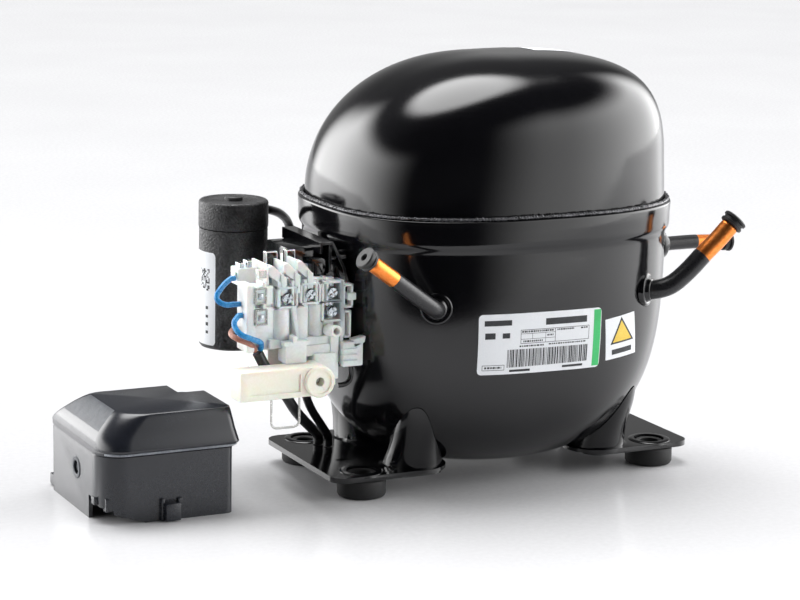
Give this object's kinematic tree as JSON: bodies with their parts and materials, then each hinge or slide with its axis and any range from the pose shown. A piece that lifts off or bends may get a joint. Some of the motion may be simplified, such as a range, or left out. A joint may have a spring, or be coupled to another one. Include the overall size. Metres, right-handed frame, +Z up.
{
  "type": "hermetic reciprocating compressor",
  "caption": "Sealed refrigeration compressor in a pressed steel housing on rubber feet, with plugged tube stubs, a terminal board, a run capacitor and its loose terminal cover.",
  "frame": {"origin": "middle of the whole bounding box, on the floor plane under the rubber feet", "axes": "+X along the long axis of the housing, away from the terminal board; +Y away from the suction tube, towards the back; +Z up"},
  "size_m": [0.3586, 0.163, 0.2186],
  "materials": {
    "black_paint": "gloss black baked enamel",
    "rubber": "matt black rubber",
    "lead_sheath": "satin black insulation",
    "ivory_plastic": "ivory thermoplastic",
    "dark_plastic": "dark grey thermoplastic",
    "clear_plastic": "natural nylon",
    "blue_lead": "blue insulation",
    "brown_lead": "brown insulation",
    "steel": "ground steel",
    "zinc": "bright zinc plating",
    "copper": "bare copper",
    "iron": "cast iron",
    "lamination": "stacked electrical steel"
  },
  "bodies": {
    "housing": {"lower_shell": "black_paint", "upper_shell": "black_paint", "weld_seam": "black_paint", "base_plate_left": "black_paint", "base_plate_right": "black_paint", "rubber_foot_front_left": "rubber", "rubber_foot_back_left": "rubber", "rubber_foot_front_right": "rubber", "rubber_foot_back_right": "rubber", "suction_tube": "black_paint", "discharge_tube": "black_paint", "process_tube": "black_paint", "terminal_header": "steel", "terminal_fence": "black_paint", "terminal_board": "ivory_plastic", "start_relay": "dark_plastic", "overload_protector": "dark_plastic", "terminal_screw_1": "zinc", "terminal_screw_2": "zinc", "terminal_screw_3": "zinc", "terminal_screw_4": "zinc", "terminal_lug_1": "zinc", "terminal_lug_2": "zinc", "cord_clamp": "ivory_plastic", "clamp_screw": "zinc", "capacitor_can": "dark_plastic", "capacitor_lid": "dark_plastic", "capacitor_bracket": "black_paint", "capacitor_lead": "lead_sheath", "blue_lead_upper": "blue_lead", "blue_lead_lower": "blue_lead", "brown_lead": "brown_lead", "supply_cable": "lead_sheath", "earth_lead": "lead_sheath"},
    "suction_plug": {"suction_plug": "rubber"},
    "discharge_plug": {"discharge_plug": "rubber"},
    "process_plug": {"process_plug": "rubber"},
    "terminal_cover": {"terminal_cover": "dark_plastic"},
    "wire_bail": {"wire_bail": "clear_plastic"},
    "pump_unit": {"stator_core": "lamination", "upper_winding": "copper", "lower_winding": "copper", "cylinder_block": "iron", "valve_plate": "steel", "cylinder_head": "iron", "suction_muffler": "ivory_plastic", "discharge_loop": "copper", "suspension_spring_left_front": "steel", "suspension_spring_left_back": "steel", "suspension_spring_right_front": "steel", "suspension_spring_right_back": "steel"},
    "crank": {"crankshaft": "steel", "rotor": "lamination", "oil_pickup": "steel"},
    "gallery_plug": {"gallery_plug": "steel"},
    "sliding_block": {"sliding_block": "steel"},
    "piston_yoke": {"piston_yoke": "steel"},
    "suction_reed": {"suction_reed": "steel"},
    "discharge_reed": {"discharge_reed": "steel"}
  },
  "joints": [
    {"name": "suspension_bounce", "type": "slide", "parent": "housing", "child": "pump_unit", "axis": [0, 0, 1], "range_m": [-0.0015, 0.0015], "stiffness_N_per_m": 40000, "springref_m": 0.00135, "deforming": ["suspension_spring_left_front", "suspension_spring_left_back", "suspension_spring_right_front", "suspension_spring_right_back"]},
    {"name": "crank_spin", "type": "hinge", "parent": "pump_unit", "child": "crank", "pos_m": [0.03623, 0.0035, 0.08], "axis": [0, 0, 1], "continuous": true},
    {"name": "block_turn", "type": "hinge", "parent": "crank", "child": "sliding_block", "pos_m": [0.02723, 0.0035, 0.13], "axis": [0, 0, 1], "continuous": true},
    {"name": "gallery_turn", "type": "hinge", "parent": "crank", "child": "gallery_plug", "pos_m": [0.03173, 0.0035, 0.135], "axis": [0, 0, 1], "continuous": true},
    {"name": "yoke_turn", "type": "hinge", "parent": "gallery_plug", "child": "piston_yoke", "pos_m": [0.02723, 0.0035, 0.13], "axis": [0, 0, 1], "continuous": true},
    {"name": "suction_reed_flex", "type": "hinge", "parent": "pump_unit", "child": "suction_reed", "pos_m": [0.09198, 0.0035, 0.1215], "axis": [0, -1, 0], "range_deg": [0, 4], "stiffness_Nm_per_rad": 0.02},
    {"name": "discharge_reed_flex", "type": "hinge", "parent": "pump_unit", "child": "discharge_reed", "pos_m": [0.09638, 0.0115, 0.118], "axis": [0, 1, 0], "range_deg": [0, 6], "stiffness_Nm_per_rad": 0.02},
    {"name": "suction_plug_pull", "type": "slide", "parent": "housing", "child": "suction_plug", "axis": [0.6648, -0.0782, 0.743], "range_m": [0, 0.02]},
    {"name": "discharge_plug_pull", "type": "slide", "parent": "housing", "child": "discharge_plug", "axis": [0.9984, -0.0342, -0.0456], "range_m": [0, 0.02]},
    {"name": "process_plug_pull", "type": "slide", "parent": "housing", "child": "process_plug", "axis": [-0.8076, -0.1098, 0.5794], "range_m": [0, 0.02]},
    {"name": "cover_lift", "type": "slide", "parent": "housing", "child": "terminal_cover", "axis": [-0.5, 0, 0.866], "range_m": [0, 0.12]},
    {"name": "bail_swing", "type": "hinge", "parent": "housing", "child": "wire_bail", "pos_m": [-0.08277, -0.0395, 0.0558], "axis": [1, 0, 0], "range_deg": [-60, 20]}
  ],
  "couplings": [
    {"joint": "block_turn", "follows": "crank_spin", "ratio": -1},
    {"joint": "gallery_turn", "follows": "crank_spin", "ratio": -2},
    {"joint": "yoke_turn", "follows": "crank_spin", "ratio": 1}
  ]
}
